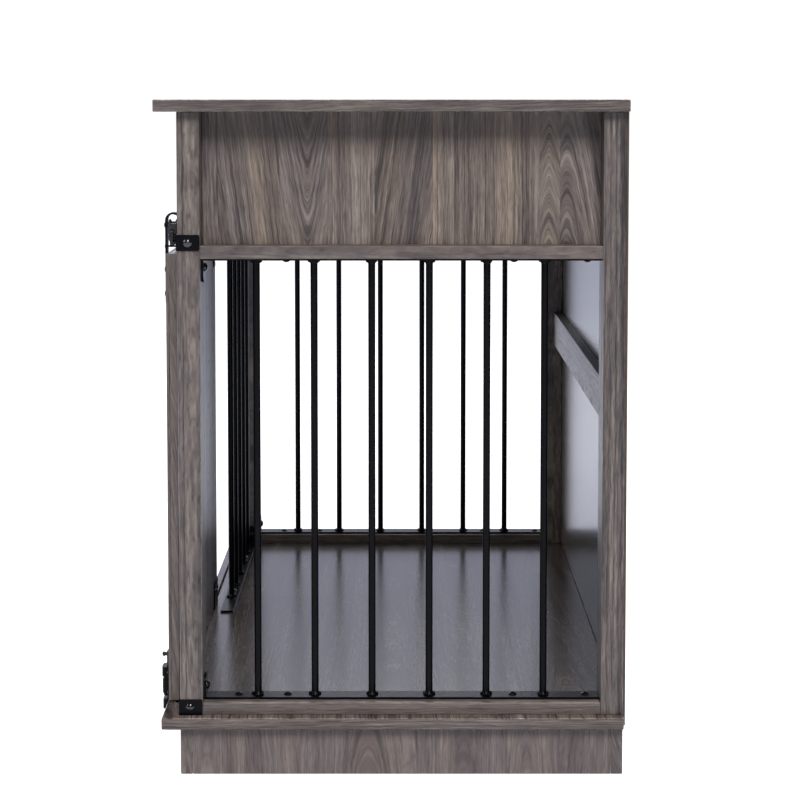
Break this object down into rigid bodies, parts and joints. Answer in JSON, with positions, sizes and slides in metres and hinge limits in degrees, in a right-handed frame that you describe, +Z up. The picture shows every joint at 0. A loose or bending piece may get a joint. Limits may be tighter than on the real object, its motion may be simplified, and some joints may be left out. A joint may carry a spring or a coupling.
{
  "type": "dog crate end table",
  "caption": "Wooden end table that is a dog crate below: black bar grilles, a barn door hung on a flat track with grooved wheels, a drop bolt, and an open divided cubby under the top.",
  "frame": {"origin": "on the floor under the middle of the whole box", "axes": "+Z up; +X along the length, towards the end of the closed door; -Y is the front with the sliding door"},
  "size_m": [1, 0.5945, 0.85],
  "materials": {
    "walnut_board": "satin grey-brown walnut laminate with fine streaked grain along each board",
    "walnut_top": "satin grey-brown walnut laminate, grain along the table",
    "walnut_door": "satin grey-brown walnut laminate, grain running up the door",
    "walnut_floor": "semi-gloss grey-brown walnut laminate, grain along the floor",
    "brown_hardboard": "smooth thin hardboard with a raw brown edge",
    "dowel_wood": "raw beech",
    "black_grille": "satin black powder coat",
    "black_hardware": "fine-textured black powder coat",
    "black_rod": "satin black",
    "black_screw": "black oxide, slightly worn",
    "black_bolt": "black oxide",
    "zinc_screw": "zinc plated",
    "wheel_nylon": "black moulded nylon"
  },
  "bodies": {
    "root": {"back_cross_rail": "walnut_board", "back_panel": "brown_hardboard", "back_panel_screws": "black_screw", "base_board": "walnut_floor", "bolt_keeper": "black_hardware", "bracket_screws": "black_screw", "corner_bracket_left": "black_hardware", "corner_bracket_right": "black_hardware", "cubby_divider": "walnut_board", "door_track": "black_hardware", "dowels": "dowel_wood", "end_bottom_rail_left": "walnut_board", "end_bottom_rail_right": "walnut_board", "end_grille_left": "black_grille", "end_grille_right": "black_grille", "end_mid_rail_left": "walnut_board", "end_mid_rail_right": "walnut_board", "end_panel_left": "walnut_board", "end_panel_right": "walnut_board", "front_grille": "black_grille", "front_post_left": "walnut_board", "front_post_right": "walnut_board", "front_upper_rail": "walnut_board", "grille_ear_screws": "black_screw", "keeper_screws": "black_screw", "mid_shelf": "walnut_board", "plinth_front": "walnut_board", "plinth_left": "walnut_board", "plinth_rear": "walnut_board", "plinth_right": "walnut_board", "post_screws": "zinc_screw", "rear_post_left": "walnut_board", "rear_post_right": "walnut_board", "small_pan_screws": "black_screw", "top_board": "walnut_top", "track_bolts": "black_bolt", "track_bracket_left": "black_hardware", "track_bracket_right": "black_hardware", "track_spacers": "black_hardware", "track_stops": "black_hardware"},
    "door": {"door_panel": "walnut_door", "door_stile_right": "walnut_door", "door_stile_left": "walnut_door", "door_top_rail": "walnut_door", "door_bottom_rail": "walnut_door", "door_brace": "walnut_door", "hanger_strap_right": "black_hardware", "hanger_strap_left": "black_hardware", "wheel_axles": "black_bolt", "anti_jump_pins": "black_bolt", "hanger_bolts": "black_bolt", "hanger_cap_nuts": "black_bolt", "slide_bolt_plate": "black_hardware", "bolt_plate_screws": "black_screw", "door_guide_left": "black_hardware", "door_guide_right": "black_hardware", "guide_screws": "black_screw"},
    "right_wheel": {"hanger_wheel_right": "wheel_nylon"},
    "left_wheel": {"hanger_wheel_left": "wheel_nylon"},
    "slide_bolt": {"slide_bolt_bar": "black_rod"}
  },
  "joints": [
    {"name": "door_slide", "type": "slide", "parent": "root", "child": "door", "axis": [-1, 0, 0], "range_m": [0, 0.385]},
    {"name": "right_wheel_spin", "type": "hinge", "parent": "door", "child": "right_wheel", "pos_m": [0.412, -0.2785, 0.69], "axis": [0, -1, 0], "continuous": true},
    {"name": "left_wheel_spin", "type": "hinge", "parent": "door", "child": "left_wheel", "pos_m": [-0.027, -0.2785, 0.69], "axis": [0, -1, 0], "continuous": true},
    {"name": "slide_bolt_drop", "type": "slide", "parent": "door", "child": "slide_bolt", "axis": [0, 0, -1], "range_m": [0, 0.011]}
  ],
  "couplings": [
    {"joint": "right_wheel_spin", "follows": "door_slide", "rad_per_m": 200},
    {"joint": "left_wheel_spin", "follows": "door_slide", "rad_per_m": 200}
  ]
}
